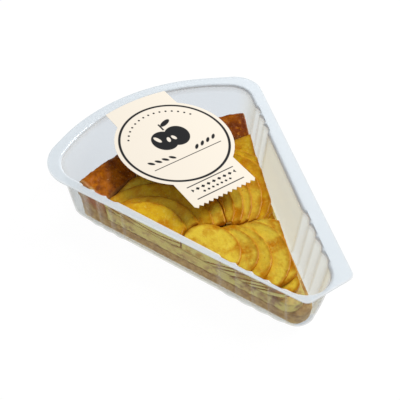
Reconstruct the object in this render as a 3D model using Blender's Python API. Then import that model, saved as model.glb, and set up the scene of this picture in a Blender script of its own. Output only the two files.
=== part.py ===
"""One slice of French apple tart, sealed in its own clear wedge-shaped tray.

Dimensions are in millimetres and become metres when a mesh is made. +Z is up, +Y runs from the
narrow tip to the wide back, and the origin is under the middle of the pack's box.
"""
import math
import random

import bmesh
import bpy
from mathutils import Vector, noise

MM = 0.001
GAP = 0.3
WELD = 0.004
# Moves everything so that the middle of the pack's box lies over the origin
TO_CENTRE = (-0.53, 0.852)
RELIEF_SEED = 11
JITTER_SEED = 8

# Tray: the cavity's rim line and the flange's outer edge are polygons with rounded corners
TRAY_HEIGHT = 29.0
WALL = 0.6
DRAFT = 2.3
FLOOR_FILLET = 1.2
SHOULDER = 1.6
CAVITY_APEX = (-0.7, -96.65)
CAVITY_HALF_ANGLE = math.radians(21.15)
CAVITY_TIP_RADIUS = 11.0
CAVITY_BACK_RADIUS = 81.0
CAVITY_BACK_Y = 72.15
CAVITY_BACK_TURN = math.radians(35.0)
CAVITY_CORNER_RADII = (15.5, 12.0)
CAVITY_TIP_Y = CAVITY_APEX[1] + CAVITY_TIP_RADIUS * (1 / math.sin(CAVITY_HALF_ANGLE) - 1)
FLANGE_FRONT_Y = -79.6
FLANGE_FRONT_X = (-10.0, 15.2)
FLANGE_FRONT_RADII = (4.0, 3.5)
FLANGE_SIDE_ANGLES = (math.radians(22.5), math.radians(20.3))
FLANGE_BACK_X = -0.9
FLANGE_BACK_Y = 77.9
FLANGE_BACK_RADIUS = 90.0
FLANGE_BACK_TURN = math.radians(28.5)
FLANGE_CORNER_RADII = (20.0, 14.0)

# The walls lean in further at the tip and the back corners: how far at the floor, and over what reach
TIP_LEAN = 2.4
TIP_LEAN_REACH = 14.0
CORNER_LEAN = 1.0
CORNER_LEAN_REACH = 14.0
LEAN_BY_HEIGHT = ((5.0, 0.8), (13.0, 0.35))

# Flutes: upright half-round grooves in both side walls, counted out from the wall lines' apex
FLUTE_DEPTH = 1.3
FLUTE_FOOT_SHARES = (0.15, 0.35, 0.55)
FLUTE_GROUPS = ((30.4, 4, 8.2), (118.0, 3, 7.2))
FLUTE_STEPS = 4

# Lid film and paper label above the rim
FILM_THICKNESS = 0.2
FILM_MARGIN = 0.5
LABEL_THICKNESS = 0.2
LABEL_CENTRE = (-0.7, 32.65)
LABEL_HALF_WIDTH = 28.4
LABEL_HALF_LENGTH = 31.4
BACK_TAB_HALF_WIDTH = 17.6
BACK_TAB_END = 38.5
FRONT_TAB_HALF_WIDTH = 16.9
FRONT_TAB_END = -44.2
TOOTH_COUNT = 13
TOOTH_DEPTH = 1.5

# Slice: the crust is swept about the tart's middle, between headings clockwise from +Y
SLICE_APEX = (-5.2, -74.85)
CUT_HEADINGS = (math.radians(-21.1), math.radians(24.2))
SLICE_BOTTOM = WALL + 0.4
BASE_THICKNESS = 6.6
BASE_CHAMFER = 0.7
BASE_BACK_RADIUS = 112.0
RIM_INNER_RADIUS = 107.4
RIM_FOOT_RADIUS = 122.7
RIM_OUTER_RADIUS = 123.5
RIM_TOP = 24.8
RIM_INNER_TOP = 20.4
CRUST_RELIEF = 0.55
FILLING_TOP_TIP = 13.4
FILLING_SLOPE = 0.022
FILLING_MEAN_RISE = 1.2

# Cut sides: every layer shares the left cut line and the right cut's back corner
LEFT_CUT_HEADING = math.radians(-20.8)
# The left cut leans out with height, as the slice rests against that wall
SIDE_TURN_FOOT = math.radians(0.09)
SIDE_TURN_PER_MM = math.radians(0.051)
RIGHT_CUT_CORNER = (38.7, 22.75)
TIP_CORNER = (-5.8, -76.15)
# Each layer's tip: how far it runs on past that corner, and its radius
BASE_TIP = (12.4, 7.6)
FILLING_TIP = (5.0, 6.6)
APPLE_TIP = (0.0, 5.5)

# Apple slices: each fan lies on cones about its centre, so its slices keep an even gap
SLICE_MAX_THICKNESS = 2.9
SLICE_EDGE_ROUND = 0.5
SLICE_SIDES = 26
SLICE_SHIFT = 0.55
SLICE_UNEVEN_TURN = 3.0
LEAD_SLICE_FLATTENING = 0.4
FRONT_FAN = {
    "centre": (-36.7, -23.35),
    "top": 22.9,
    "slope": 0.40,
    # centre x, centre y, half width, half length, turn in degrees, reach from the fan's centre
    "slices": (
        (-20.7, -28.4, 12.0, 15.5, 0.0, 28.3),
        (-15.7, -32.4, 12.0, 16.0, 0.0, 33.7),
        (-13.2, -35.9, 13.5, 19.0, 6.0, 39.0),
        (-6.7, -41.4, 14.5, 21.0, 20.0, 47.0),
        (-1.2, -42.4, 16.0, 20.5, 20.0, 52.3),
        (1.8, -48.4, 21.0, 23.0, 20.0, 57.3),
    ),
}
LEFT_FAN = {
    "centre": (-50.7, -9.35),
    "top": 23.1,
    "slope": 0.36,
    "slices": (
        (-43.7, -5.4, 21.5, 21.5, 0.0, 29.2),
        (-40.7, -5.4, 25.0, 25.0, 0.0, 35.2),
        (-36.7, -3.4, 29.0, 29.0, 0.0, 43.0),
        (-34.7, -1.4, 33.0, 33.0, 0.0, 50.0),
    ),
}
RIGHT_FAN_EDGES = (1.8, 6.9, 11.9, 16.9, 22.8, 28.3, 33.3)
RIGHT_FAN_SIZE = 30.0
RIGHT_FAN_Y = 2.65
RIGHT_FAN_CENTRE_X = -25.0
RIGHT_FAN = {
    "centre": (RIGHT_FAN_CENTRE_X, RIGHT_FAN_Y),
    "top": 21.8,
    "slope": 0.40,
    "slices": tuple(
        (edge - RIGHT_FAN_SIZE, RIGHT_FAN_Y, RIGHT_FAN_SIZE, RIGHT_FAN_SIZE, 0.0, edge - RIGHT_FAN_CENTRE_X)
        for edge in RIGHT_FAN_EDGES
    ) + ((-4.0, RIGHT_FAN_Y, 50.0, 50.0, 0.0, 63.6),),
}


def clear_objects():
    for obj in list(bpy.data.objects):
        bpy.data.objects.remove(obj, do_unlink=True)


def make_material(name, colour, roughness, metallic=0.0, alpha=1.0):
    material = bpy.data.materials.new(name)
    material.use_nodes = True
    shader = material.node_tree.nodes["Principled BSDF"]
    shader.inputs["Base Color"].default_value = (*colour, 1.0)
    shader.inputs["Roughness"].default_value = roughness
    shader.inputs["Metallic"].default_value = metallic
    shader.inputs["Alpha"].default_value = alpha
    material.diffuse_color = (*colour, alpha)
    return material


def make_object(name, bm, material):
    """Turns a bmesh in millimetres into an object in metres, faces out, smooth where it is round."""
    bmesh.ops.recalc_face_normals(bm, faces=bm.faces)
    bmesh.ops.translate(bm, vec=(*TO_CENTRE, 0.0), verts=bm.verts)
    bmesh.ops.scale(bm, vec=(MM, MM, MM), verts=bm.verts)
    mesh = bpy.data.meshes.new(name)
    bm.to_mesh(mesh)
    bm.free()
    mesh.shade_smooth()
    mesh.set_sharp_from_angle(angle=math.radians(35))
    mesh.materials.append(material)
    obj = bpy.data.objects.new(name, mesh)
    bpy.context.collection.objects.link(obj)
    return obj


def bridge(bm, ring_a, ring_b):
    """Joins two closed rings of vertices with a band of quads."""
    count = len(ring_a)
    for i in range(count):
        j = (i + 1) % count
        bm.faces.new((ring_a[i], ring_a[j], ring_b[j], ring_b[i]))


def stack_rings(rings):
    """A closed solid from rings of points: the first and last are capped."""
    bm = bmesh.new()
    loops = [[bm.verts.new(point) for point in ring] for ring in rings]
    for low, high in zip(loops, loops[1:]):
        bridge(bm, low, high)
    bm.faces.new(loops[0])
    bm.faces.new(loops[-1])
    return bm


def rounded_corner(before, corner, after, radius, steps):
    """Points and outward normals of a rounded corner on a polygon that runs counter-clockwise."""
    before, corner, after = Vector(before), Vector(corner), Vector(after)
    arriving = (corner - before).normalized()
    leaving = (after - corner).normalized()
    turn = arriving.angle_signed(leaving) * -1
    start = corner - arriving * radius * math.tan(turn / 2)
    centre = start + Vector((-arriving.y, arriving.x)) * radius
    first = math.atan2(-arriving.x, arriving.y)
    samples = []
    for i in range(steps + 1):
        angle = first + turn * i / steps
        normal = Vector((math.cos(angle), math.sin(angle)))
        samples.append((centre + normal * radius, normal))
    return samples


def back_corners(side_points, side_angles, centre_x, back_y, radius, turn):
    """Corners where the sides meet the curved back's tangents, with the back's own corner between."""
    apex_y = back_y - radius + radius / math.cos(turn)
    slope = math.tan(turn)
    corners = []
    for point, angle, side in zip(side_points, side_angles, (-1, 1)):
        spread = math.tan(angle)
        reach = (side * (point[0] - centre_x) + spread * (apex_y - point[1])) / (1 + spread * slope)
        corners.append((centre_x + side * reach, apex_y - slope * reach))
    left, right = corners
    return right, (centre_x, apex_y), left


def flute_samples():
    """Distances along a side wall, each with how far the flutes push it out there."""
    samples = []
    for start, count, pitch in FLUTE_GROUPS:
        for step in range(count * FLUTE_STEPS + 1):
            bulge = FLUTE_DEPTH * abs(math.sin(math.pi * step / FLUTE_STEPS))
            samples.append((start + pitch * step / FLUTE_STEPS, bulge))
    return samples


def cavity_line():
    """The cavity's rim line from the tip: points, outward normals and how far the flutes bulge."""
    apex = Vector(CAVITY_APEX)
    right, back, left = back_corners(
        (apex, apex), (CAVITY_HALF_ANGLE, CAVITY_HALF_ANGLE), apex.x, CAVITY_BACK_Y, CAVITY_BACK_RADIUS,
        CAVITY_BACK_TURN,
    )
    flutes = flute_samples()
    line = [(p, n, 0.0) for p, n in rounded_corner(left, apex, right, CAVITY_TIP_RADIUS, 12)]
    line += side_wall(apex, 1, flutes)
    line += [(p, n, 0.0) for p, n in rounded_corner(apex, right, back, CAVITY_CORNER_RADII[1], 7)]
    line += [(p, n, 0.0) for p, n in rounded_corner(right, back, left, CAVITY_BACK_RADIUS, 14)]
    line += [(p, n, 0.0) for p, n in rounded_corner(back, left, apex, CAVITY_CORNER_RADII[0], 8)]
    line += reversed(side_wall(apex, -1, flutes))
    return line


def side_wall(apex, side, flutes):
    along = Vector((side * math.sin(CAVITY_HALF_ANGLE), math.cos(CAVITY_HALF_ANGLE)))
    normal = Vector((side * math.cos(CAVITY_HALF_ANGLE), -math.sin(CAVITY_HALF_ANGLE)))
    return [(apex + along * distance, normal, bulge) for distance, bulge in flutes]


def flange_line():
    """The flange's outer edge: a straight front, two sides and a curved back."""
    front_left, front_right = ((x, FLANGE_FRONT_Y) for x in FLANGE_FRONT_X)
    right, back, left = back_corners(
        (front_left, front_right), FLANGE_SIDE_ANGLES, FLANGE_BACK_X, FLANGE_BACK_Y, FLANGE_BACK_RADIUS,
        FLANGE_BACK_TURN,
    )
    corners = (front_left, front_right, right, back, left)
    radii = (
        FLANGE_FRONT_RADII[0], FLANGE_FRONT_RADII[1], FLANGE_CORNER_RADII[1], FLANGE_BACK_RADIUS,
        FLANGE_CORNER_RADII[0],
    )
    steps = (5, 5, 9, 20, 11)
    line = []
    for i, corner in enumerate(corners):
        before, after = corners[i - 1], corners[(i + 1) % len(corners)]
        line += rounded_corner(before, corner, after, radii[i], steps[i])
    return line


def reach_to(outline, point, direction):
    """Distance from a point inside an outline to its edge, along a direction."""
    across = Vector((-direction.y, direction.x))
    nearest = math.inf
    for i, (end, _) in enumerate(outline):
        start = outline[i - 1][0]
        side_a, side_b = (start - point) @ across, (end - point) @ across
        if side_a * side_b > 0 or side_a == side_b:
            continue
        crossing = start.lerp(end, side_a / (side_a - side_b)) - point
        distance = crossing @ direction
        if distance > 0:
            nearest = min(nearest, distance)
    return nearest


def wall_leans(rim):
    """How much further in than the draft each place of the rim line has its wall's foot."""
    corners = (rim_corner(rim, 1), rim_corner(rim, -1))
    leans = []
    for point, _, _ in rim:
        lean = tip_lean(point)
        for corner in corners:
            lean += CORNER_LEAN * math.exp(-((point - corner).length / CORNER_LEAN_REACH) ** 2)
        leans.append(lean)
    return leans


def tip_lean(point):
    return TIP_LEAN * math.exp((CAVITY_TIP_Y - point.y) / TIP_LEAN_REACH)


def lean_share(height):
    """The share of a lean at this height: all of it at the wall's foot and none at its shoulder."""
    steps = ((WALL + FLOOR_FILLET, 1.0), *LEAN_BY_HEIGHT, (TRAY_HEIGHT - SHOULDER, 0.0))
    for (low, low_share), (high, high_share) in zip(steps, steps[1:]):
        if height < high:
            up = max(0.0, (height - low) / (high - low))
            return low_share + (high_share - low_share) * up
    return 0.0


def rim_corner(rim, side):
    """The middle of a back corner: the rim line's furthest place out to that side and back."""
    return max((point for point, _, _ in rim), key=lambda point: side * point.x * 1.2 + point.y)


def tray_profile():
    """Offset from the rim line, height and shares of the flutes and leans, up inside and down outside."""
    half = math.sqrt(0.5)
    floor_offset = -(DRAFT + FLOOR_FILLET)
    foot_offset = -DRAFT * (1 - FLOOR_FILLET / TRAY_HEIGHT)
    foot_height = WALL + FLOOR_FILLET
    shoulder_height = TRAY_HEIGHT - SHOULDER
    under = SHOULDER - WALL
    outer_fillet = FLOOR_FILLET + WALL
    floor_share, bend_share, foot_share = FLUTE_FOOT_SHARES
    wall = []
    for height, lean_share in LEAN_BY_HEIGHT:
        up = (height - foot_height) / (shoulder_height - foot_height)
        wall.append((foot_offset * (1 - up), height, foot_share + (1 - foot_share) * up, lean_share))
    inside = [
        (floor_offset, WALL, floor_share, 1.0),
        (floor_offset + FLOOR_FILLET * half, foot_height - FLOOR_FILLET * half, bend_share, 1.0),
        (foot_offset, foot_height, foot_share, 1.0),
        *wall,
        (0.0, shoulder_height, 1.0, 0.0),
        (SHOULDER * (1 - half), TRAY_HEIGHT - SHOULDER * (1 - half), 0.6, 0.0),
        (SHOULDER, TRAY_HEIGHT, 0.0, 0.0),
    ]
    outside = [
        (SHOULDER, TRAY_HEIGHT - WALL, 0.0, 0.0),
        (SHOULDER - under * half, shoulder_height + under * half, 0.6, 0.0),
        (WALL, shoulder_height, 1.0, 0.0),
        *((offset + WALL, height, share, lean) for offset, height, share, lean in reversed(wall)),
        (foot_offset + WALL, foot_height, foot_share, 1.0),
        (floor_offset + outer_fillet * half, foot_height - outer_fillet * half, bend_share, 1.0),
        (floor_offset, 0.0, floor_share, 1.0),
    ]
    return inside, outside


def make_tray(material):
    rim = cavity_line()
    leans = wall_leans(rim)
    edge = flange_line()
    inside, outside = tray_profile()

    def ring(offset, height, share, lean_share):
        points = []
        for (point, normal, bulge), lean in zip(rim, leans):
            points.append((*(point + normal * (offset + bulge * share - lean * lean_share)), height))
        return points

    def flange_ring(height):
        points = [point + normal * reach_to(edge, point, normal) for point, normal, _ in rim]
        return [(*point, height) for point in points]

    rings = [ring(*row) for row in inside]
    rings += [flange_ring(TRAY_HEIGHT), flange_ring(TRAY_HEIGHT - WALL)]
    rings += [ring(*row) for row in outside]
    return make_object("tray", stack_rings(rings), material)


def make_film(material):
    low = TRAY_HEIGHT + GAP
    edge = [point - normal * FILM_MARGIN for point, normal in flange_line()]
    rings = [[(*point, height) for point in edge] for height in (low, low + FILM_THICKNESS)]
    return make_object("lid_film", stack_rings(rings), material)


def oval_arc(first, last, steps):
    """Points of the label's oval between two angles in radians."""
    points = []
    for i in range(steps + 1):
        angle = first + (last - first) * i / steps
        points.append((LABEL_HALF_WIDTH * math.cos(angle), LABEL_HALF_LENGTH * math.sin(angle)))
    return points


def label_outline():
    """An oval with a toothed tab to the front and a plain tab whose end follows the back of the rim."""
    front_angle = math.acos(FRONT_TAB_HALF_WIDTH / LABEL_HALF_WIDTH)
    back_angle = math.acos(BACK_TAB_HALF_WIDTH / LABEL_HALF_WIDTH)
    pitch = 2 * FRONT_TAB_HALF_WIDTH / TOOTH_COUNT
    points = []
    for tooth in range(TOOTH_COUNT):
        left = -FRONT_TAB_HALF_WIDTH + pitch * tooth
        points.append((left, FRONT_TAB_END + TOOTH_DEPTH))
        points.append((left + pitch / 2, FRONT_TAB_END))
    points.append((FRONT_TAB_HALF_WIDTH, FRONT_TAB_END + TOOTH_DEPTH))
    points += oval_arc(-front_angle, back_angle, 18)
    end_steps = 6
    for i in range(end_steps + 1):
        x = BACK_TAB_HALF_WIDTH * (1 - 2 * i / end_steps)
        points.append((x, BACK_TAB_END - x * x / (2 * CAVITY_BACK_RADIUS)))
    points += oval_arc(math.pi - back_angle, math.pi + front_angle, 18)
    return [(x + LABEL_CENTRE[0], y + LABEL_CENTRE[1]) for x, y in points]


def make_label(material):
    low = TRAY_HEIGHT + FILM_THICKNESS + 2 * GAP
    outline = label_outline()
    rings = [[(*point, height) for point in outline] for height in (low, low + LABEL_THICKNESS)]
    return make_object("label", stack_rings(rings), material)


def slice_point(radius, heading):
    """A place in the tart's plan: distance from its middle and heading clockwise from +Y."""
    return Vector((SLICE_APEX[0] + radius * math.sin(heading), SLICE_APEX[1] + radius * math.cos(heading)))


def heading_on_circle(start, along, radius):
    """Heading at which a cut line from start meets a circle about the tart's middle."""
    offset = start - Vector(SLICE_APEX)
    half = offset @ along
    distance = -half + math.sqrt(half * half - offset.length_squared + radius * radius)
    place = offset + along * distance
    return math.atan2(place.x, place.y)


def side_turn(height):
    """How far the left cut is turned out at a height."""
    return SIDE_TURN_FOOT + SIDE_TURN_PER_MM * (height - SLICE_BOTTOM)


def layer_outline(tip, back_radius, height):
    """A layer's plan at a height, counter-clockwise: its round tip, two straight cuts and its back."""
    extension, tip_radius = tip
    left_heading = LEFT_CUT_HEADING - side_turn(height)
    left_along = Vector((math.sin(left_heading), math.cos(left_heading)))
    corner = Vector(TIP_CORNER) - left_along * extension
    right_along = (Vector(RIGHT_CUT_CORNER) - corner).normalized()
    headings = [heading_on_circle(corner, along, back_radius) for along in (right_along, left_along)]
    right, left = (slice_point(back_radius, heading) for heading in headings)
    points = [point for point, _ in rounded_corner(left, corner, right, tip_radius, 9)]
    steps = 15
    for i in range(steps + 1):
        points.append(slice_point(back_radius, headings[0] + (headings[1] - headings[0]) * i / steps))
    return points


def leaned_ring(tip, back_radius, height, chamfer=0.0):
    """A layer's outline at a height, pulled in by its chamfer and by as much as the tray's tip leans."""
    points = layer_outline(tip, back_radius, height)
    ring = []
    for i, point in enumerate(points):
        along = (points[(i + 1) % len(points)] - points[i - 1]).normalized()
        inward = Vector((-along.y, along.x))
        ring.append((*(point + inward * (chamfer + tip_lean(point) * lean_share(height))), height))
    return ring


def sweep_crust(profile, steps):
    """Sweeps the rim's closed radius-and-height profile from cut to cut, with its relief."""
    first, last = CUT_HEADINGS
    rings = []
    for i in range(steps + 1):
        heading = first + (last - first) * i / steps
        ring = []
        for radius, height in profile:
            top_fade = min(1.0, (RIM_TOP + 1.0 - height) / 5.0)
            turn = side_turn(height) * top_fade * (1 - i / steps)
            radius, height = crust_relief(radius, height, heading)
            ring.append((*slice_point(radius, heading - turn), height))
        rings.append(ring)
    return stack_rings(rings)


def crust_relief(radius, height, angle):
    """Crags on the browned rim: uneven top and outer side, and none where the filling lies."""
    top = max(0.0, min(1.0, (height - RIM_INNER_TOP + 2.0) / 3.0))
    side = max(0.0, min(1.0, (radius - RIM_FOOT_RADIUS + 1.0) / 2.0))
    spot = Vector((angle * 22.0 + RELIEF_SEED, radius * 0.23, height * 0.23))
    broad = Vector((angle * 6.0, RELIEF_SEED, radius * 0.02))
    radius += CRUST_RELIEF * side * noise.noise(spot)
    height += CRUST_RELIEF * top * (noise.noise(spot + Vector((0, 7, 3))) + 1.4 * noise.noise(broad))
    return radius, height


def make_pastry(material):
    """The baked rim, joined to the flat base that runs on to the tip."""
    bottom = SLICE_BOTTOM
    middle = (RIM_FOOT_RADIUS + RIM_OUTER_RADIUS) / 2
    profile = (
        (RIM_INNER_RADIUS, bottom),
        (RIM_FOOT_RADIUS - 1.0, bottom),
        (RIM_FOOT_RADIUS + 0.4, bottom + 1.2),
        (middle - 0.4, (bottom + RIM_TOP) * 0.35),
        (middle + 0.9, (bottom + RIM_TOP) * 0.68),
        (RIM_OUTER_RADIUS, RIM_TOP - 2.4),
        (RIM_OUTER_RADIUS - 0.9, RIM_TOP - 0.5),
        (RIM_OUTER_RADIUS - 3.2, RIM_TOP),
        (RIM_OUTER_RADIUS - 6.4, RIM_TOP - 1.0),
        (RIM_OUTER_RADIUS - 10.0, RIM_TOP - 2.4),
        (RIM_INNER_RADIUS + 2.6, RIM_INNER_TOP + 0.9),
        (RIM_INNER_RADIUS + 0.6, RIM_INNER_TOP),
        (RIM_INNER_RADIUS, RIM_INNER_TOP - 1.4),
    )
    heights = (bottom + BASE_CHAMFER, LEAN_BY_HEIGHT[0][0], bottom + BASE_THICKNESS)
    rings = [leaned_ring(BASE_TIP, BASE_BACK_RADIUS, bottom, BASE_CHAMFER)]
    rings += [leaned_ring(BASE_TIP, BASE_BACK_RADIUS, height) for height in heights]
    base = make_object("base", stack_rings(rings), material)
    pastry = make_object("pastry", sweep_crust(profile, 30), material)
    combine(pastry, base, "UNION")
    keep_largest_part(pastry)
    bpy.data.objects.remove(base, do_unlink=True)


def filling_top(y):
    return FILLING_TOP_TIP + FILLING_SLOPE * (y - SLICE_APEX[1])


def make_filling(material):
    low = SLICE_BOTTOM + BASE_THICKNESS + GAP
    back_radius = RIM_INNER_RADIUS - GAP - 0.2
    top = leaned_ring(FILLING_TIP, back_radius, FILLING_TOP_TIP + FILLING_MEAN_RISE)
    rings = [leaned_ring(FILLING_TIP, back_radius, low), [(x, y, filling_top(y)) for x, y, _ in top]]
    make_object("apple_filling", stack_rings(rings), material)


def hide_cutter(obj):
    obj.hide_render = True
    obj.display_type = "WIRE"


def make_wedge_cutter(material):
    """The room over the filling and inside the rim, between the two cut faces."""
    back_radius = RIM_INNER_RADIUS - GAP - 0.2
    foot = leaned_ring(APPLE_TIP, back_radius, FILLING_TOP_TIP + FILLING_MEAN_RISE)
    sky = TRAY_HEIGHT + 10.0
    rings = [[(x, y, filling_top(y) + GAP) for x, y, _ in foot], leaned_ring(APPLE_TIP, back_radius, sky)]
    cutter = make_object("wedge_cutter", stack_rings(rings), material)
    hide_cutter(cutter)
    return cutter


def oval_points(row, growth, scale=1.0):
    """Points round an apple slice's plan outline, grown or scaled about its centre."""
    centre_x, centre_y, half_width, half_length, turn, _ = row
    turn = math.radians(turn)
    points = []
    for i in range(SLICE_SIDES):
        angle = 2 * math.pi * i / SLICE_SIDES
        across = (half_width * scale + growth) * math.cos(angle)
        along = (half_length * scale + growth) * math.sin(angle)
        x = centre_x + across * math.cos(turn) + along * math.sin(turn)
        y = centre_y - across * math.sin(turn) + along * math.cos(turn)
        points.append((x, y))
    return points


def make_footprint_cutter(name, rows, material):
    """Everything over and under a fan, grown by the gap, to cut the fans that it lies on."""
    parts = []
    for index, row in enumerate(rows):
        rings = [[(*point, height) for point in oval_points(row, GAP)] for height in (0.0, 40.0)]
        parts.append(make_object(f"{name}_{index}", stack_rings(rings), material))
    whole = parts[0]
    for part in parts[1:]:
        combine(whole, part, "UNION")
        bpy.data.objects.remove(part, do_unlink=True)
    hide_cutter(whole)
    return whole


def combine(obj, other, operation):
    """Applies a Boolean to this object's mesh. The exact solver leaves some of these pieces open."""
    modifier = obj.modifiers.new("cut", "BOOLEAN")
    modifier.operation = operation
    modifier.object = other
    modifier.solver = "MANIFOLD"
    evaluated = obj.evaluated_get(bpy.context.evaluated_depsgraph_get())
    mesh = bpy.data.meshes.new_from_object(evaluated)
    obj.modifiers.remove(modifier)
    obj.data = mesh


def keep_largest_part(obj):
    """Drops the loose scraps that a cut leaves, and the slivers along its edges."""
    bm = bmesh.new()
    bm.from_mesh(obj.data)
    bmesh.ops.remove_doubles(bm, verts=bm.verts, dist=WELD * MM)
    bmesh.ops.dissolve_degenerate(bm, edges=bm.edges, dist=WELD * MM)
    unseen = set(bm.verts)
    parts = []
    while unseen:
        part, edge_of_part = set(), [unseen.pop()]
        while edge_of_part:
            vert = edge_of_part.pop()
            part.add(vert)
            for edge in vert.link_edges:
                other = edge.other_vert(vert)
                if other in unseen:
                    unseen.discard(other)
                    edge_of_part.append(other)
        parts.append(part)
    largest = max(parts, key=len)
    bmesh.ops.delete(bm, geom=[vert for vert in bm.verts if vert not in largest], context="VERTS")
    bm.to_mesh(obj.data)
    bm.free()
    obj.data.set_sharp_from_angle(angle=math.radians(35))


def apple_solid(fan, row, thickness, is_lead):
    """A thin oval slice lying on its fan's cone, with a rounded skin edge."""
    centre_x, centre_y, half_width, half_length, _, reach = row

    def drop(point):
        rho = math.dist(point, fan["centre"])
        return fan["slope"] * (reach - rho)

    def top(point):
        fall = drop(point)
        if is_lead and fall > 0:
            fall *= LEAD_SLICE_FLATTENING
        return fan["top"] - fall

    def bottom(point):
        return fan["top"] - drop(point) - thickness

    edge = oval_points(row, 0.0)
    shoulder = oval_points(row, -SLICE_EDGE_ROUND)
    inner = [oval_points(row, 0.0, scale) for scale in (0.72, 0.42)]
    round_height = 0.3 * thickness
    rings = [[(*point, bottom(point)) for point in ring] for ring in (inner[1], inner[0], shoulder)]
    rings.append([(*point, bottom(point) + round_height) for point in edge])
    rings.append([(*point, top(point) - round_height) for point in edge])
    rings += [[(*point, top(point)) for point in ring] for ring in (shoulder, inner[0], inner[1])]
    bm = bmesh.new()
    loops = [[bm.verts.new(point) for point in ring] for ring in rings]
    for low, high in zip(loops, loops[1:]):
        bridge(bm, low, high)
    middle = (centre_x, centre_y)
    for loop, height in ((loops[0], bottom(middle)), (loops[-1], top(middle))):
        hub = bm.verts.new((*middle, height))
        for i, vert in enumerate(loop):
            bm.faces.new((vert, loop[(i + 1) % len(loop)], hub))
    return bm


def jittered(rows, draw):
    """Small uneven shifts and turns, as slices laid by hand have."""
    shifted = []
    for x, y, width, length, turn, reach in rows:
        x += draw.uniform(-SLICE_SHIFT, SLICE_SHIFT)
        y += draw.uniform(-SLICE_SHIFT, SLICE_SHIFT)
        turn += draw.uniform(-SLICE_UNEVEN_TURN, SLICE_UNEVEN_TURN)
        shifted.append((x, y, width, length, turn, reach))
    return shifted


def make_fan(name, fan, rows, cutters, material):
    for index, row in enumerate(rows):
        if index + 1 < len(rows):
            spacing = fan["slope"] * (rows[index + 1][-1] - row[-1])
        else:
            spacing = SLICE_MAX_THICKNESS
        thickness = min(spacing - GAP, SLICE_MAX_THICKNESS)
        bm = apple_solid(fan, row, thickness, index == 0)
        obj = make_object(f"apple_slice_{name}_{index + 1}", bm, material)
        combine(obj, cutters[0], "INTERSECT")
        for cutter in cutters[1:]:
            combine(obj, cutter, "DIFFERENCE")
        keep_largest_part(obj)


def main():
    clear_objects()
    plastic = make_material("clear_plastic", (0.90, 0.92, 0.94), 0.08, alpha=0.3)
    film = make_material("lid_film", (0.96, 0.97, 0.98), 0.05, alpha=0.15)
    paper = make_material("label_paper", (0.96, 0.89, 0.77), 0.6)
    pastry = make_material("pastry", (0.42, 0.17, 0.03), 0.5)
    compote = make_material("apple_filling", (0.36, 0.24, 0.14), 0.55)
    apple = make_material("baked_apple", (0.72, 0.44, 0.05), 0.3)

    make_tray(plastic)
    make_film(film)
    make_label(paper)
    make_pastry(pastry)
    make_filling(compote)

    draw = random.Random(JITTER_SEED)
    front_rows = jittered(FRONT_FAN["slices"], draw)
    left_rows = jittered(LEFT_FAN["slices"], draw)
    right_rows = jittered(RIGHT_FAN["slices"], draw)
    wedge = make_wedge_cutter(apple)
    front = make_footprint_cutter("front_cutter", front_rows, apple)
    left = make_footprint_cutter("left_cutter", left_rows, apple)
    make_fan("front", FRONT_FAN, front_rows, (wedge,), apple)
    make_fan("left", LEFT_FAN, left_rows, (wedge, front), apple)
    make_fan("right", RIGHT_FAN, right_rows, (wedge, front, left), apple)
    for cutter in (wedge, front, left):
        bpy.data.objects.remove(cutter, do_unlink=True)


main()
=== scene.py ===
"""Looks of a slice of French apple tart in its sealed clear tray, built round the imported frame.

Sizes in this file are millimetres and become metres when a mesh is made.
"""
import math
import random

import bmesh
import bpy
import numpy as np
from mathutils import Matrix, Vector, noise
from mathutils.kdtree import KDTree


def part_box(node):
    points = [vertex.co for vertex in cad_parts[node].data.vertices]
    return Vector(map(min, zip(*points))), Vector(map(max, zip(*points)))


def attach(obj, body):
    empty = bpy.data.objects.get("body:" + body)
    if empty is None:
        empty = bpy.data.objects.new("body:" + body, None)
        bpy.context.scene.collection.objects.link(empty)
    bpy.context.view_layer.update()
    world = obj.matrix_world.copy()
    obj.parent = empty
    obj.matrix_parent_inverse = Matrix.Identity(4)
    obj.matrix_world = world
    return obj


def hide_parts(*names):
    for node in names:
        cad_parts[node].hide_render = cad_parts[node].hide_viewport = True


MM = 0.001
BODY = "root"
# The frame's own shift, which puts the middle of its box over the origin
TO_CENTRE = (-0.53, 0.852)

# Camera: where it looks, how far off it stands and its angles, fitted to the photograph
CAMERA_AIM = (-13.36, -6.488, 29.6)
CAMERA_DISTANCE = 351.0
CAMERA_AZIMUTH = math.radians(-34.327)
CAMERA_ELEVATION = math.radians(45.289)
CAMERA_LENS = 69.94

# Tray: the same lines as the frame's tray, cut finer
WALL = 0.6
DRAFT = 2.3
FLOOR_FILLET = 1.2
SHOULDER = 1.6
CAVITY_APEX = (-0.7, -96.65)
CAVITY_HALF_ANGLE = math.radians(21.15)
CAVITY_TIP_RADIUS = 11.0
CAVITY_BACK_RADIUS = 81.0
CAVITY_BACK_Y = 72.15
CAVITY_BACK_TURN = math.radians(35.0)
CAVITY_CORNER_RADII = (15.5, 12.0)
CAVITY_TIP_Y = CAVITY_APEX[1] + CAVITY_TIP_RADIUS * (1 / math.sin(CAVITY_HALF_ANGLE) - 1)
FLANGE_FRONT_Y = -79.6
FLANGE_FRONT_X = (-10.0, 15.2)
FLANGE_FRONT_RADII = (4.0, 3.5)
FLANGE_SIDE_ANGLES = (math.radians(22.5), math.radians(20.3))
FLANGE_BACK_X = -0.9
FLANGE_BACK_Y = 77.9
FLANGE_BACK_RADIUS = 90.0
FLANGE_BACK_TURN = math.radians(28.5)
FLANGE_CORNER_RADII = (20.0, 14.0)
TIP_LEAN = 2.4
TIP_LEAN_REACH = 14.0
CORNER_LEAN = 1.0
CORNER_LEAN_REACH = 14.0
LEAN_BY_HEIGHT = ((5.0, 0.8), (13.0, 0.35))
FLUTE_DEPTH = 1.3
FLUTE_FOOT_SHARES = (0.15, 0.35, 0.55)
FLUTE_GROUPS = ((30.4, 4, 8.2), (118.0, 3, 7.2))
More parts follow.
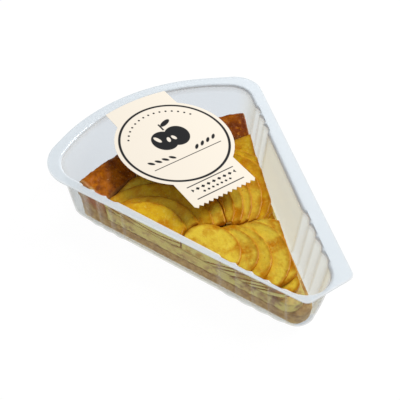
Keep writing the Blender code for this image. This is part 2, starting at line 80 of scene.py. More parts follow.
CORNER_SLANT = 1.2

# Tray: how finely its lines and its profile are cut, and where the flange has rows
FLUTE_STEPS = 12
PLAIN_WALL_STEP = 3.0
CAVITY_TIP_STEPS = 36
CAVITY_BACK_STEPS = 56
CAVITY_CORNER_STEPS = (28, 24)
FLANGE_STEPS = (16, 16, 28, 60, 34)
FLANGE_ROWS = (0.12, 0.3, 0.5, 0.7, 0.88, 1.0)
FOOT_STEPS = 5
WALL_STEPS = 8
SHOULDER_STEPS = 8

# Tray's looks: milky from this far below its top, and a painted dark refraction line round a bend just below
# the top
HAZE_DEPTH = 1.9
HAZE_RISE = 1.2
DARK_BEND_DEPTH = 0.9
DARK_BEND_REACH = 0.7
# The side walls, whose normals lean this far to a side, carry a painted warm reflection of the food up to a
# place along Y, less so on flutes
WARM_FROM_LEAN = 0.7
WARM_LEAN_REACH = 0.2
WARM_ENDS_Y = 52.0
WARM_FADE = 30.0
WARM_LEFT_SHARE = 0.45
WARM_FLUTE_SHARE = 0.55
# A place counts as on a flute from this bulge, and a cusp lies beside one of at least the other
FLUTED_FROM = 0.05 * FLUTE_DEPTH
CUSP_NEIGHBOUR = 0.2 * FLUTE_DEPTH

# Slice: its apex, the headings of its crust's cuts and its rim's inner radius
SLICE_APEX = (-5.73, -73.998)
CUT_HEADINGS = (math.radians(-21.1), math.radians(24.2))
LEFT_CUT_HEADING = math.radians(-20.8)
RIM_INNER_RADIUS = 107.4

# Voxel sizes of the remeshed pastry and filling, and of the apple slices
FOOD_VOXEL = 0.55
SLICE_VOXEL = 0.42

# Pastry: how deep its cut faces' colour goes, and where its baked rim starts
CUT_COLOUR_DEPTH = 0.8
BAKED_FROM_RADIUS = RIM_INNER_RADIUS - 1.0
BAKED_RADIUS_REACH = 2.0
BAKED_FROM_HEIGHT = 9.0
BAKED_HEIGHT_REACH = 5.0

# Apple slices: reach of the darker edge, which is partly caramelised glaze and partly painted shade between
# slices, and how nearly a face must stand along the left cut
EDGE_REACH = 2.2
CUT_FACE_FROM = 0.85
CUT_FACE_REACH = 0.1

# Label print
LABEL_CENTRE = (-1.23, 33.502)
INK_BLUR = 0.16

# Light and stage: in metres and watts
KEY_PLACE = (0.72, -0.02, 0.68)
KEY_SIZE = 0.5
KEY_POWER = 9.6
WORLD_STRENGTH = 0.38
FLOOR_HALF_SIZE = 3.0
FLOOR_GLOW = 0.97
FLOOR_DROP = 0.00005

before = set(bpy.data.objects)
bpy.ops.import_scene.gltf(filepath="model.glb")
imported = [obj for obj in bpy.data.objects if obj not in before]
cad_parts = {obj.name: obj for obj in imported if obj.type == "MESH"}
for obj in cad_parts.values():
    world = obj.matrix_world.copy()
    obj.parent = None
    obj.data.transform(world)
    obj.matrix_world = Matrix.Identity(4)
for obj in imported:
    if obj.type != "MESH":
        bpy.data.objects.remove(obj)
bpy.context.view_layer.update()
TRAY_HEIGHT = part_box("tray")[1].z / MM


def srgb(red, green, blue):
    """A colour as a screen shows it, 0 to 255, turned into the linear values that a shader takes."""
    def linear(value):
        value /= 255
        return value / 12.92 if value <= 0.04045 else ((value + 0.055) / 1.055) ** 2.4
    return (linear(red), linear(green), linear(blue), 1.0)


class Graph:
    """A material's node tree, and short calls that add to it and return an output."""

    def __init__(self, name):
        self.material = bpy.data.materials.new(name)
        self.material.use_nodes = True
        self.tree = self.material.node_tree
        self.tree.nodes.clear()
        self.output = self.tree.nodes.new("ShaderNodeOutputMaterial")

    def add(self, kind, inputs=None, **settings):
        node = self.tree.nodes.new("ShaderNode" + kind)
        for key, value in settings.items():
            setattr(node, key, value)
        for key, value in (inputs or {}).items():
            if isinstance(value, bpy.types.NodeSocket):
                self.tree.links.new(value, node.inputs[key])
            else:
                node.inputs[key].default_value = value
        return node

    def position(self):
        return self.add("TexCoord").outputs["Object"]

    def attribute(self, name):
        return self.add("Attribute", attribute_name=name).outputs["Fac"]

    def math(self, operation, a, b=0.0, c=0.0, clamp=False):
        node = self.add("Math", {0: a, 1: b, 2: c}, operation=operation, use_clamp=clamp)
        return node.outputs[0]

    def noise(self, size, detail=3.0, seed=0.0):
        """Noise from 0 to 1 whose features are about this many millimetres across."""
        scale = 1 / (size * MM)
        inputs = {"Vector": self.position(), "W": seed, "Scale": scale, "Detail": detail, "Roughness": 0.55}
        return self.add("TexNoise", inputs, noise_dimensions="4D").outputs["Fac"]

    def ramp(self, factor, low, high, to_low=0.0, to_high=1.0):
        """Maps low..high to to_low..to_high with soft ends."""
        node = self.add(
            "MapRange",
            {"Value": factor, "From Min": low, "From Max": high, "To Min": to_low, "To Max": to_high},
            interpolation_type="SMOOTHSTEP",
        )
        return node.outputs["Result"]

    def mix(self, factor, a, b):
        return self.add("Mix", {0: factor, 6: a, 7: b}, data_type="RGBA").outputs[2]

    def bump(self, height, depth):
        """A bump whose full height is this many millimetres."""
        return self.add("Bump", {"Height": height, "Distance": depth * MM, "Strength": 1.0}).outputs[0]

    def finish(self, shader):
        self.tree.links.new(shader, self.output.inputs["Surface"])
        return self.material


def new_piece(name, mesh, material, nodes):
    """Adds a piece that rides on the body, hides the nodes it stands for and takes the material it is given.
    """
    mesh.name = name
    mesh.materials.clear()
    mesh.materials.append(material)
    piece = bpy.data.objects.new(name, mesh)
    bpy.context.collection.objects.link(piece)
    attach(piece, BODY)
    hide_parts(*nodes)
    return piece


def mesh_from_bmesh(bm):
    bmesh.ops.recalc_face_normals(bm, faces=bm.faces)
    bmesh.ops.scale(bm, vec=(MM, MM, MM), verts=bm.verts)
    mesh = bpy.data.meshes.new("new")
    bm.to_mesh(mesh)
    bm.free()
    return mesh


# Tray

def rounded_corner(before, corner, after, radius, steps):
    """Points and outward normals of a rounded corner on a polygon that runs counter-clockwise."""
    before, corner, after = Vector(before), Vector(corner), Vector(after)
    arriving = (corner - before).normalized()
    leaving = (after - corner).normalized()
    turn = -arriving.angle_signed(leaving)
    start = corner - arriving * radius * math.tan(turn / 2)
    centre = start + Vector((-arriving.y, arriving.x)) * radius
    first = math.atan2(-arriving.x, arriving.y)
    samples = []
    for i in range(steps + 1):
        angle = first + turn * i / steps
        normal = Vector((math.cos(angle), math.sin(angle)))
        samples.append((centre + normal * radius, normal))
    return samples


def back_corners(side_points, side_angles, centre_x, back_y, radius, turn):
    """Corners where the sides meet the curved back's tangents, with the back's own corner between."""
    apex_y = back_y - radius + radius / math.cos(turn)
    slope = math.tan(turn)
    corners = []
    for point, angle, side in zip(side_points, side_angles, (-1, 1)):
        spread = math.tan(angle)
        reach = (side * (point[0] - centre_x) + spread * (apex_y - point[1])) / (1 + spread * slope)
        corners.append((centre_x + side * reach, apex_y - slope * reach))
    left, right = corners
    return right, (centre_x, apex_y), left


def flute_samples(last):
    """Distances along a side wall up to its last one, each with how far the flutes push it out."""
    samples = []
    for start, count, pitch in FLUTE_GROUPS:
        for step in range(count * FLUTE_STEPS + 1):
            bulge = FLUTE_DEPTH * abs(math.sin(math.pi * step / FLUTE_STEPS))
            samples.append((start + pitch * step / FLUTE_STEPS, bulge))
    plain_from = FLUTE_GROUPS[0][0] + FLUTE_GROUPS[0][1] * FLUTE_GROUPS[0][2]
    steps = round((FLUTE_GROUPS[1][0] - plain_from) / PLAIN_WALL_STEP)
    for step in range(1, steps):
        samples.append((plain_from + (FLUTE_GROUPS[1][0] - plain_from) * step / steps, 0.0))
    return sorted(sample for sample in samples if sample[0] <= last)


def side_wall(apex, side, last):
    along = Vector((side * math.sin(CAVITY_HALF_ANGLE), math.cos(CAVITY_HALF_ANGLE)))
    normal = Vector((side * math.cos(CAVITY_HALF_ANGLE), -math.sin(CAVITY_HALF_ANGLE)))
    return [(apex + along * distance, normal, bulge) for distance, bulge in flute_samples(last)]


def cavity_line():
    """The cavity's rim line from the tip: points, outward normals and how far the flutes bulge."""
    apex = Vector(CAVITY_APEX)
    right, back, left = back_corners(
        (apex, apex), (CAVITY_HALF_ANGLE, CAVITY_HALF_ANGLE), apex.x, CAVITY_BACK_Y, CAVITY_BACK_RADIUS,
        CAVITY_BACK_TURN,
    )
    corner = rounded_corner(apex, right, back, CAVITY_CORNER_RADII[1], CAVITY_CORNER_STEPS[1])
    left_corner = rounded_corner(back, left, apex, CAVITY_CORNER_RADII[0], CAVITY_CORNER_STEPS[0])
    tip = rounded_corner(left, apex, right, CAVITY_TIP_RADIUS, CAVITY_TIP_STEPS)
    back_arc = rounded_corner(right, back, left, CAVITY_BACK_RADIUS, CAVITY_BACK_STEPS)
    line = [(p, n, 0.0) for p, n in tip]
    line += side_wall(apex, 1, (corner[0][0] - apex).length)
    line += [(p, n, 0.0) for p, n in corner]
    line += [(p, n, 0.0) for p, n in back_arc]
    line += [(p, n, 0.0) for p, n in left_corner]
    line += reversed(side_wall(apex, -1, (left_corner[-1][0] - apex).length))
    return line


def wall_leans(rim):
    """How much further in than the draft each place of the rim line has its wall's foot."""
    corners = (rim_corner(rim, 1), rim_corner(rim, -1))
    leans = []
    for point, _, _ in rim:
        lean = TIP_LEAN * math.exp((CAVITY_TIP_Y - point.y) / TIP_LEAN_REACH)
        for corner in corners:
            lean += CORNER_LEAN * math.exp(-((point - corner).length / CORNER_LEAN_REACH) ** 2)
        leans.append(lean)
    return leans


def rim_corner(rim, side):
    """The middle of a back corner: the rim line's furthest place out to that side and back."""
    return max((point for point, _, _ in rim), key=lambda point: side * point.x * CORNER_SLANT + point.y)


def share_between(steps, height):
    """A share read between steps of height and share, level beyond the last ones."""
    return float(np.interp(height, [step[0] for step in steps], [step[1] for step in steps]))


def flange_line():
    """The flange's outer edge: a straight front, two sides and a curved back."""
    front_left, front_right = ((x, FLANGE_FRONT_Y) for x in FLANGE_FRONT_X)
    right, back, left = back_corners(
        (front_left, front_right), FLANGE_SIDE_ANGLES, FLANGE_BACK_X, FLANGE_BACK_Y, FLANGE_BACK_RADIUS,
        FLANGE_BACK_TURN,
    )
    corners = (front_left, front_right, right, back, left)
    radii = (
        FLANGE_FRONT_RADII[0], FLANGE_FRONT_RADII[1], FLANGE_CORNER_RADII[1], FLANGE_BACK_RADIUS,
        FLANGE_CORNER_RADII[0],
    )
    line = []
    for i, corner in enumerate(corners):
        before, after = corners[i - 1], corners[(i + 1) % len(corners)]
        line += rounded_corner(before, corner, after, radii[i], FLANGE_STEPS[i])
    return line


def reach_to(outline, point, direction):
    """Distance from a point inside an outline to its edge, along a direction."""
    across = Vector((-direction.y, direction.x))
    nearest = math.inf
    for i, (end, _) in enumerate(outline):
        start = outline[i - 1][0]
        side_a, side_b = (start - point) @ across, (end - point) @ across
        if side_a * side_b > 0 or side_a == side_b:
            continue
        crossing = start.lerp(end, side_a / (side_a - side_b)) - point
        distance = crossing @ direction
        if distance > 0:
            nearest = min(nearest, distance)
    return nearest


def bend_rows(centre_offset, centre_height, radius, first, last, steps, share_of):
    """Rows of a profile's round bend, each with its offset, height and share of the flutes."""
    rows = []
    for i in range(steps + 1):
        angle = first + (last - first) * i / steps
        rows.append((
            centre_offset + radius * math.cos(angle), centre_height + radius * math.sin(angle),
            share_of(i / steps),
        ))
    return rows


def tray_rows(thickness):
    """The profile from the floor up to the flange, this far outside the tray's inner face."""
    floor_offset = -(DRAFT + FLOOR_FILLET)
    foot_height = WALL + FLOOR_FILLET
    shoulder_height = TRAY_HEIGHT - SHOULDER
    floor_share, bend_share, foot_share = FLUTE_FOOT_SHARES
    foot = bend_rows(
        floor_offset, foot_height, FLOOR_FILLET + thickness, -math.pi / 2, 0.0, FOOT_STEPS,
        lambda share: share_between(((0.0, floor_share), (0.5, bend_share), (1.0, foot_share)), share),
    )
    foot_offset = foot[-1][0]
    wall = []
    for i in range(1, WALL_STEPS):
        share = i / WALL_STEPS
        wall.append((
            foot_offset + (thickness - foot_offset) * share,
            foot_height + (shoulder_height - foot_height) * share,
            foot_share + (1 - foot_share) * share,
        ))
    shoulder = bend_rows(
        SHOULDER, shoulder_height, SHOULDER - thickness, math.pi, math.pi / 2, SHOULDER_STEPS,
        lambda share: math.sqrt(max(0.0, 1 - share ** 3)),
    )
    return foot + wall + shoulder


def flute_cusps(rim):
    """1 on the lines between two flutes and 0 elsewhere, for each place of the rim line."""
    cusps = []
    for i, (_, _, bulge) in enumerate(rim):
        near = max(rim[i - 1][2], rim[(i + 1) % len(rim)][2])
        cusps.append(1.0 if near > CUSP_NEIGHBOUR and bulge < FLUTED_FROM else 0.0)
    return cusps


def clipped(value):
    return min(1.0, max(0.0, value))


def painted_food_reflection_shares(rim):
    """How much each place of the rim line carries a painted reflection of the colour of the cut faces beside
    it.
    """
    shares = []
    for point, normal, bulge in rim:
        share = clipped((abs(normal.x) - WARM_FROM_LEAN) / WARM_LEAN_REACH)
        share *= clipped((WARM_ENDS_Y - point.y) / WARM_FADE)
        share *= 1.0 if normal.x > 0 else WARM_LEFT_SHARE
        shares.append(share * (WARM_FLUTE_SHARE if bulge > FLUTED_FROM else 1.0))
    return shares


def profile_rings(rim, thickness):
    """Rings of points up the tray's profile, each with how milky it is and how much painted refraction shade
    it carries.
    """
    leans = wall_leans(rim)
    lean_steps = ((WALL + FLOOR_FILLET, 1.0), *LEAN_BY_HEIGHT, (TRAY_HEIGHT - SHOULDER, 0.0))
    rings = []
    for offset, height, share in tray_rows(thickness):
        milky = clipped((height - (TRAY_HEIGHT - HAZE_DEPTH)) / HAZE_RISE)
        # Painted shade: a dark refraction line round the bend just below the top
        painted_bend_shade = clipped(1 - abs(height - (TRAY_HEIGHT - DARK_BEND_DEPTH)) / DARK_BEND_REACH)
        lean_share = share_between(lean_steps, height)
        points = []
        for (point, normal, bulge), lean in zip(rim, leans):
            points.append((*(point + normal * (offset + bulge * share - lean * lean_share)), height))
        rings.append((points, milky, painted_bend_shade))
    return rings


def flange_rings(rim, height):
    """Rings of points from the shoulder out to the flange's edge, all milky."""
    edge = flange_line()
    reaches = [reach_to(edge, point, normal) for point, normal, _ in rim]
    rings = []
    for share in FLANGE_ROWS:
        points = []
        for (point, normal, _), reach in zip(rim, reaches):
            points.append((*(point + normal * (SHOULDER + (reach - SHOULDER) * share)), height))
        rings.append((points, 1.0, 0.0))
    return rings


def make_tray(material):
    rim = cavity_line()
    cusps = flute_cusps(rim)
    painted_food_reflections = painted_food_reflection_shares(rim)
    bm = bmesh.new()
    haze = bm.verts.layers.float.new("haze")
    bend = bm.verts.layers.float.new("bend")
    painted_crease_line = bm.verts.layers.float.new("painted_crease_line")
    painted_food_reflection = bm.verts.layers.float.new("painted_food_reflection")
    inside = profile_rings(rim, 0.0) + flange_rings(rim, TRAY_HEIGHT)
    outside = profile_rings(rim, WALL) + flange_rings(rim, TRAY_HEIGHT - WALL)
    rings = []
    for points, milky, painted_bend_shade in inside + outside[::-1]:
        ring = []
        for point, cusp, painted_food_reflection_share in zip(points, cusps, painted_food_reflections):
            vert = bm.verts.new(point)
            vert[haze] = milky
            vert[bend] = painted_bend_shade
            # Painted refraction lines along the flute creases, kept off the milky flange
            vert[painted_crease_line] = cusp * (1 - milky)
            # Painted warm reflection of the food's cut faces in the side walls
            vert[painted_food_reflection] = painted_food_reflection_share * (1 - milky)
            ring.append(vert)
        rings.append(ring)
    for low, high in zip(rings, rings[1:]):
        for i in range(len(low)):
            j = (i + 1) % len(low)
            bm.faces.new((low[i], low[j], high[j], high[i]))
    bm.faces.new(rings[0])
    bm.faces.new(rings[-1])
    bmesh.ops.translate(bm, vec=(*TO_CENTRE, 0.0), verts=bm.verts)
    mesh = mesh_from_bmesh(bm)
    mesh.shade_smooth()
    mesh.set_sharp_from_angle(angle=math.radians(50))
    return new_piece("tray_shell", mesh, material, ("tray",))


# Food meshes

def remeshed(node, voxel):
    """A finer even copy of a CAD node's mesh."""
    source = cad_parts[node]
    copy = bpy.data.objects.new("copy", source.data.copy())
    bpy.context.collection.objects.link(copy)
    modifier = copy.modifiers.new("remesh", "REMESH")
    modifier.mode = "VOXEL"
    modifier.voxel_size = voxel * MM
    mesh = bpy.data.meshes.new_from_object(copy.evaluated_get(bpy.context.evaluated_depsgraph_get()))
    bpy.data.objects.remove(copy, do_unlink=True)
    return mesh


def read_points(mesh):
    """Points in millimetres and unit normals of a mesh's vertices."""
    points = np.empty(len(mesh.vertices) * 3)
    normals = np.empty(len(mesh.vertices) * 3)
    mesh.vertices.foreach_get("co", points)
    mesh.vertices.foreach_get("normal", normals)
    return points.reshape(-1, 3) / MM, normals.reshape(-1, 3)


def write_points(mesh, points):
    mesh.vertices.foreach_set("co", (points * MM).ravel())
    mesh.update()


def write_attribute(mesh, name, values):
    attribute = mesh.attributes.new(name, "FLOAT", "POINT")
    attribute.data.foreach_set("value", np.asarray(values, np.float32))


def field(points, size, seed, octaves=1):
    """Smooth noise from about -1 to 1 at each point, with features of this size."""
    values = np.empty(len(points))
    shift = Vector((seed * 17.3, seed * 5.1, seed * 9.7))
    for i, point in enumerate(points):
        place = Vector(point) / size + shift
        total, weight = noise.noise(place), 0.5
        for _ in range(octaves - 1):
            place = place * 2.03
            total += weight * noise.noise(place)
            weight *= 0.5
        values[i] = total
    return values


def slice_frame(points):
    """Radius from the slice's apex and heading clockwise from +Y, for each point."""
    x, y = points[:, 0] - SLICE_APEX[0], points[:, 1] - SLICE_APEX[1]
    return np.hypot(x, y), np.arctan2(x, y)


def on_cut_face(points, normals):
    """1 on faces that stand along the left cut and 0 elsewhere."""
    outward = np.abs(normals @ np.array((math.cos(LEFT_CUT_HEADING), -math.sin(LEFT_CUT_HEADING), 0.0)))
    return np.clip((outward - CUT_FACE_FROM) / CUT_FACE_REACH, 0, 1)


def make_pastry(material):
    mesh = remeshed("pastry", FOOD_VOXEL)
    points, normals = read_points(mesh)
    radius, heading = slice_frame(points)
    inside = np.minimum(heading - CUT_HEADINGS[0], CUT_HEADINGS[1] - heading)
    cut = np.clip(1 - inside * radius / CUT_COLOUR_DEPTH, 0, 1)
    rim = np.clip((radius - BAKED_FROM_RADIUS) / BAKED_RADIUS_REACH, 0, 1)
    rim *= np.clip((points[:, 2] - BAKED_FROM_HEIGHT) / BAKED_HEIGHT_REACH, 0, 1)
    crumb = field(points, 1.3, 1, 3)
    crag = field(points, 3.4, 2, 3)
    lift = -0.25 * cut * (0.5 + np.abs(crumb)) + 0.28 * rim * crag * (1 - cut)
    write_points(mesh, points + normals * lift[:, None])
    write_attribute(mesh, "cut", cut)
    write_attribute(mesh, "rim", rim)
    across = (heading - CUT_HEADINGS[0]) / (CUT_HEADINGS[1] - CUT_HEADINGS[0])
    # Darker from the left cut towards the right cut, with broad noise
    write_attribute(mesh, "darker_to_right", np.clip(0.15 + 0.7 * across + 0.45 * field(points, 9.0, 3, 2), 0, 1))
    mesh.shade_smooth()
    return new_piece("tart_pastry", mesh, material, ("pastry",))


def make_filling(material):
    mesh = remeshed("apple_filling", FOOD_VOXEL)
    points, normals = read_points(mesh)
    lift = 0.22 * field(points, 2.6, 4, 3) - 0.12
    write_points(mesh, points + normals * lift[:, None])
    mesh.shade_smooth()
    return new_piece("tart_filling", mesh, material, ("apple_filling",))


def make_apple_slice(node, index, material, draw):
    mesh = remeshed(node, SLICE_VOXEL)
    points, normals = read_points(mesh)
    sides = points[np.abs(normals[:, 2]) < 0.5]
    tree = KDTree(len(sides))
    for i, point in enumerate(sides):
        tree.insert(Vector(point), i)
    tree.balance()
    distance = np.array([tree.find(Vector(point))[2] for point in points])
    lift = 0.10 * field(points, 3.0, 20 + index, 2) + 0.05 * field(points, 0.9, 50 + index, 1)
    write_points(mesh, points + normals * lift[:, None])
    # Nearness to a side face, for a darker edge band: partly caramelised glaze, partly painted shade between
    # slices
    write_attribute(mesh, "edge", np.exp(-distance / EDGE_REACH))
    write_attribute(mesh, "side", on_cut_face(points, normals))
    write_attribute(mesh, "tone", np.full(len(points), draw.random()))
    mesh.shade_smooth()
    return new_piece(f"tart_{node}", mesh, material, (node,))


# Materials

def tray_material():
    g = Graph("clear_tray")
    haze = g.attribute("haze")
    bend = g.attribute("bend")
    painted_crease_line = g.attribute("painted_crease_line")
    painted_food_reflection = g.attribute("painted_food_reflection")
    facing = g.add("LayerWeight", {"Blend": 0.4}).outputs["Facing"]
    body = g.add("BsdfPrincipled", {
        "Base Color": g.mix(haze, srgb(222, 214, 196), srgb(244, 248, 250)), "Roughness": 0.12, "IOR": 1.45,
    }).outputs[0]
    tint = g.mix(haze, srgb(240, 242, 244), srgb(250, 251, 252))
    # Painted reflection: the side walls are tinted warm by the food beside them
    tint = g.mix(painted_food_reflection, tint, srgb(243, 241, 232))
    # Painted shade: a darker tint round the bend below the top stands in for a refraction line
    tint = g.mix(bend, tint, srgb(200, 202, 206))
    clear = g.add("BsdfTransparent", {"Color": tint}).outputs[0]
    opacity = g.math("MULTIPLY_ADD", haze, 0.62, 0.02)
    opacity = g.math("MULTIPLY_ADD", g.math("POWER", facing, 3.0), 0.45, opacity)
    # Painted refraction lines: the tray is less clear along the flute creases
    opacity = g.math("MULTIPLY_ADD", g.math("POWER", painted_crease_line, 1.5), 0.16, opacity, clamp=True)
    return g.finish(g.add("MixShader", {0: opacity, 1: clear, 2: body}).outputs[0])


def film_material():
    g = Graph("lid_film")
    facing = g.add("LayerWeight", {"Blend": 0.25}).outputs["Facing"]
    body = g.add("BsdfPrincipled", {
        "Base Color": srgb(240, 244, 250), "Roughness": 0.08, "IOR": 1.3,
    }).outputs[0]
    clear = g.add("BsdfTransparent", {"Color": srgb(252, 253, 254)}).outputs[0]
    opacity = g.math("MULTIPLY_ADD", g.math("POWER", facing, 3.0), 0.1, 0.0)
    return g.finish(g.add("MixShader", {0: opacity, 1: clear, 2: body}).outputs[0])


class Print:
    """Distances to printed shapes on a flat label: x and y are millimetres, below 0 is inside a shape."""

    def __init__(self, graph, centre):
        self.g = graph
        place = graph.add("SeparateXYZ", {0: graph.position()})
        self.x = graph.math("SUBTRACT", graph.math("DIVIDE", place.outputs["X"], MM), centre[0])
        self.y = graph.math("SUBTRACT", graph.math("DIVIDE", place.outputs["Y"], MM), centre[1])

    def length(self, across, along):
        g = self.g
        return g.math("SQRT", g.math("ADD", g.math("POWER", across, 2.0), g.math("POWER", along, 2.0)))

    def oval(self, x, y, half_width, half_height, turn=0.0):
        g = self.g
        dx, dy = g.math("SUBTRACT", self.x, x), g.math("SUBTRACT", self.y, y)
        if turn:
            cos, sin = math.cos(math.radians(turn)), math.sin(math.radians(turn))
            dx, dy = (
                g.math("ADD", g.math("MULTIPLY", dx, cos), g.math("MULTIPLY", dy, sin)),
                g.math("SUBTRACT", g.math("MULTIPLY", dy, cos), g.math("MULTIPLY", dx, sin)),
            )
        spread = self.length(g.math("DIVIDE", dx, half_width), g.math("DIVIDE", dy, half_height))
        return g.math("MULTIPLY", g.math("SUBTRACT", spread, 1.0), min(half_width, half_height))

    def bar(self, x, y, half_width, half_height):
        g = self.g
        across = g.math("SUBTRACT", g.math("ABSOLUTE", g.math("SUBTRACT", self.x, x)), half_width)
        along = g.math("SUBTRACT", g.math("ABSOLUTE", g.math("SUBTRACT", self.y, y)), half_height)
        return g.math("MAXIMUM", across, along)

    def lozenges(self, y, half_width, size, pitch):
        """A row of lozenges this far apart, within half a width of the middle."""
        g = self.g
        across = g.math("PINGPONG", self.x, pitch / 2)
        along = g.math("ABSOLUTE", g.math("SUBTRACT", self.y, y))
        shape = g.math("SUBTRACT", g.math("ADD", across, along), size)
        return g.math("MAXIMUM", shape, g.math("SUBTRACT", g.math("ABSOLUTE", self.x), half_width))

    def dots_on_oval(self, half_width, half_height, size, count, lowest):
        """Round dots set evenly on an oval, above a height."""
        g = self.g
        step = 2 * math.pi / count
        spread = self.length(g.math("DIVIDE", self.x, half_width), g.math("DIVIDE", self.y, half_height))
        off = g.math("MULTIPLY", g.math("SUBTRACT", spread, 1.0), half_width)
        turn = g.math("ARCTAN2", g.math("DIVIDE", self.y, half_height), g.math("DIVIDE", self.x, half_width))
        along = g.math("MULTIPLY", g.math("PINGPONG", turn, step / 2), half_width)
        shape = g.math("SUBTRACT", self.length(off, along), size)
        return g.math("MAXIMUM", shape, g.math("SUBTRACT", lowest, self.y))

    def outline(self, shape, width):
        g = self.g
        return g.math("SUBTRACT", g.math("ABSOLUTE", shape), width / 2)

    def union(self, *shapes):
        whole = shapes[0]
        for shape in shapes[1:]:
            whole = self.g.math("MINIMUM", whole, shape)
        return whole

    def cut(self, shape, hole):
        return self.g.math("MAXIMUM", shape, self.g.math("MULTIPLY", hole, -1.0))

    def ink(self, shape):
        return self.g.ramp(shape, -INK_BLUR, INK_BLUR, 1.0, 0.0)


def label_material():
    g = Graph("label_paper")
    p = Print(g, LABEL_CENTRE)
    ring = p.outline(p.oval(0, 0, 26.0, 28.8), 1.2)
    apple = p.union(p.oval(-3.6, 3.0, 6.2, 7.4, 8), p.oval(3.6, 3.0, 6.2, 7.4, -8))
    apple = p.cut(apple, p.oval(0, 11.6, 2.6, 2.0))
    core = p.union(p.oval(-1.5, 2.6, 0.9, 1.8, -14), p.oval(1.5, 2.6, 0.9, 1.8, 14))
    shine = p.oval(-6.2, 5.4, 1.0, 2.6, 16)
    apple = p.cut(p.cut(apple, core), shine)
    stem = p.bar(0.2, 12.6, 0.45, 2.6)
    leaf = p.oval(3.6, 14.4, 3.4, 1.5, 24)
    sprigs = []
    for side in (-1, 1):
        for step in range(4):
            reach = 7.0 + 3.6 * step
            sprigs.append(p.oval(side * reach, -10.4 + 0.16 * reach, 1.9, 0.8, side * 48))
    line = p.bar(0, -12.6, 19.0, 0.25)
    dots = p.dots_on_oval(21.6, 24.2, 0.55, 44, 12.0)
    rules = p.union(p.bar(0, -30.6, 13.0, 0.3), p.bar(0, -39.4, 13.0, 0.3))
    rows = p.union(p.lozenges(-33.6, 12.2, 1.05, 3.0), p.lozenges(-36.6, 8.2, 0.8, 2.4))
    ink = p.ink(p.union(ring, apple, stem, leaf, line, dots, rules, rows, *sprigs))
    paper = g.mix(g.noise(0.6, 4), srgb(252, 243, 229), srgb(249, 239, 222))
    shader = g.add("BsdfPrincipled", {
        "Base Color": g.mix(ink, paper, srgb(22, 23, 26)), "Roughness": 0.6, "Specular IOR Level": 0.3,
        "Normal": g.bump(g.noise(0.25, 3), 0.012),
    }).outputs[0]
    return g.finish(shader)


def pastry_material():
    g = Graph("pastry")
    cut = g.attribute("cut")
    rim = g.attribute("rim")
    darker_to_right = g.attribute("darker_to_right")
    # The crust's colour, darker towards the right cut
    baked = g.mix(darker_to_right, srgb(184, 100, 1), srgb(118, 48, 1))
    baked = g.mix(g.ramp(g.noise(5.0, 4, seed=3.0), 0.42, 0.7, 0.0, 0.85), baked, srgb(104, 42, 1))
    # Lighter orange patches and pale specks: partly the crust's own colour, partly painted highlights on the
    # glaze
    baked = g.mix(g.ramp(g.noise(2.2, 4, seed=7.0), 0.52, 0.72, 0.0, 0.55), baked, srgb(216, 128, 8))
    baked = g.mix(g.ramp(g.noise(0.7, 2, seed=12.0), 0.66, 0.74, 0.0, 0.5), baked, srgb(240, 206, 150))
    crumb = g.mix(g.ramp(g.noise(3.0, 4), 0.35, 0.65), srgb(226, 186, 118), srgb(184, 138, 84))
    crumb = g.mix(g.ramp(g.noise(0.8, 3, seed=5.0), 0.58, 0.72), crumb, srgb(246, 226, 170))
    side = g.mix(g.ramp(g.noise(6.0, 3, seed=9.0), 0.4, 0.6), crumb, srgb(206, 124, 78))
    cut_rim = g.math("MULTIPLY", rim, cut)
    colour = g.mix(rim, crumb, baked)
    colour = g.mix(g.math("MULTIPLY", cut_rim, 0.85), colour, side)
    shader = g.add("BsdfPrincipled", {
        "Base Color": colour, "Roughness": g.ramp(rim, 0.0, 1.0, 0.8, 0.4), "Specular IOR Level": 0.07,
        "Normal": g.bump(g.noise(0.9, 5), 0.22),
    }).outputs[0]
    return g.finish(shader)


def filling_material():
    g = Graph("apple_filling")
    colour = g.mix(g.ramp(g.noise(9.0, 3), 0.42, 0.58), srgb(236, 204, 126), srgb(184, 140, 96))
    colour = g.mix(g.ramp(g.noise(4.5, 3, seed=4.0), 0.42, 0.56), colour, srgb(252, 234, 140))
    shader = g.add("BsdfPrincipled", {
        "Base Color": colour, "Roughness": 0.5, "Specular IOR Level": 0.15,
        "Normal": g.bump(g.noise(0.8, 4), 0.2),
    }).outputs[0]
    return g.finish(shader)


def apple_material():
    g = Graph("baked_apple")
    edge = g.attribute("edge")
    tone = g.attribute("tone")
    side = g.attribute("side")
    flesh = g.mix(tone, srgb(250, 218, 72), srgb(236, 184, 22))
    flesh = g.mix(g.ramp(g.noise(8.0, 3), 0.42, 0.66), flesh, srgb(216, 140, 2))
    flesh = g.mix(g.ramp(g.noise(2.4, 4, seed=2.0), 0.55, 0.72, 0.0, 0.5), flesh, srgb(250, 222, 90))
    flesh = g.mix(g.ramp(g.noise(0.6, 2, seed=6.0), 0.6, 0.72, 0.0, 0.4), flesh, srgb(252, 236, 140))
    flesh = g.mix(g.ramp(g.noise(1.4, 3, seed=11.0), 0.62, 0.75, 0.0, 0.6), flesh, srgb(190, 104, 2))
    # Darker orange near the edges: partly caramelised glaze, partly painted shade between overlapping slices
    glaze_and_shade = g.ramp(g.math("ADD", edge, g.math("MULTIPLY", g.noise(5.0, 3, seed=5.0), 0.9)), 0.75, 1.35)
    flesh = g.mix(glaze_and_shade, flesh, srgb(190, 122, 4))
    sides = g.mix(g.ramp(g.noise(8.0, 2, seed=8.0), 0.5, 0.62), srgb(255, 240, 146), srgb(220, 178, 84))
    colour = g.mix(side, flesh, sides)
    shader = g.add("BsdfPrincipled", {
        "Base Color": colour, "Roughness": 0.34, "Specular IOR Level": 0.15,
        "Normal": g.bump(g.noise(0.9, 4), 0.16),
    }).outputs[0]
    return g.finish(shader)


# Stage, camera and light

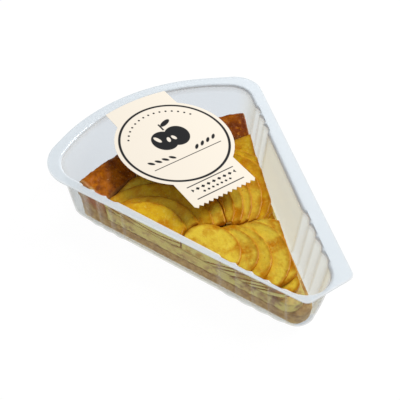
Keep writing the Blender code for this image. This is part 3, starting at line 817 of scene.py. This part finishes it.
def make_floor():
    mesh = bpy.data.meshes.new("floor")
    corners = [(x * FLOOR_HALF_SIZE, y * FLOOR_HALF_SIZE, 0) for x, y in ((-1, -1), (1, -1), (1, 1), (-1, 1))]
    mesh.from_pydata(corners, [], [(0, 1, 2, 3)])
    g = Graph("floor")
    shader = g.add("BsdfPrincipled", {
        "Base Color": (0.05, 0.05, 0.05, 1), "Roughness": 1.0, "Specular IOR Level": 0.0,
        "Emission Color": (1, 1, 1, 1), "Emission Strength": FLOOR_GLOW,
    }).outputs[0]
    mesh.materials.append(g.finish(shader))
    floor = bpy.data.objects.new("floor", mesh)
    floor.location.z = -FLOOR_DROP
    bpy.context.collection.objects.link(floor)


def make_camera():
    data = bpy.data.cameras.new("camera")
    data.lens = CAMERA_LENS
    data.clip_start = 0.01
    camera = bpy.data.objects.new("camera", data)
    back = Vector((
        math.sin(CAMERA_AZIMUTH) * math.cos(CAMERA_ELEVATION),
        -math.cos(CAMERA_AZIMUTH) * math.cos(CAMERA_ELEVATION),
        math.sin(CAMERA_ELEVATION),
    ))
    camera.location = (Vector(CAMERA_AIM) + back * CAMERA_DISTANCE) * MM
    camera.rotation_euler = (math.pi / 2 - CAMERA_ELEVATION, 0, CAMERA_AZIMUTH)
    bpy.context.collection.objects.link(camera)
    bpy.context.scene.camera = camera


def make_key_light():
    data = bpy.data.lights.new("key", "AREA")
    data.shape = "DISK"
    data.size = KEY_SIZE
    data.energy = KEY_POWER
    light = bpy.data.objects.new("key", data)
    light.location = KEY_PLACE
    light.rotation_mode = "QUATERNION"
    light.rotation_quaternion = (-Vector(KEY_PLACE)).to_track_quat("-Z", "Y")
    bpy.context.collection.objects.link(light)


def make_world():
    world = bpy.data.worlds.new("world")
    world.use_nodes = True
    background = world.node_tree.nodes["Background"]
    background.inputs["Color"].default_value = (1.0, 1.0, 1.0, 1.0)
    background.inputs["Strength"].default_value = WORLD_STRENGTH
    bpy.context.scene.world = world


def main():
    make_camera()
    make_world()
    make_key_light()
    make_floor()
    bpy.context.scene.view_settings.view_transform = "Standard"
    make_tray(tray_material())
    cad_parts["lid_film"].data.materials[0] = film_material()
    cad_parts["label"].data.materials[0] = label_material()
    make_pastry(pastry_material())
    make_filling(filling_material())
    draw = random.Random(4)
    apple = apple_material()
    slices = sorted(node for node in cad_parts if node.startswith("apple_slice_"))
    for index, node in enumerate(slices):
        make_apple_slice(node, index, apple, draw)


main()
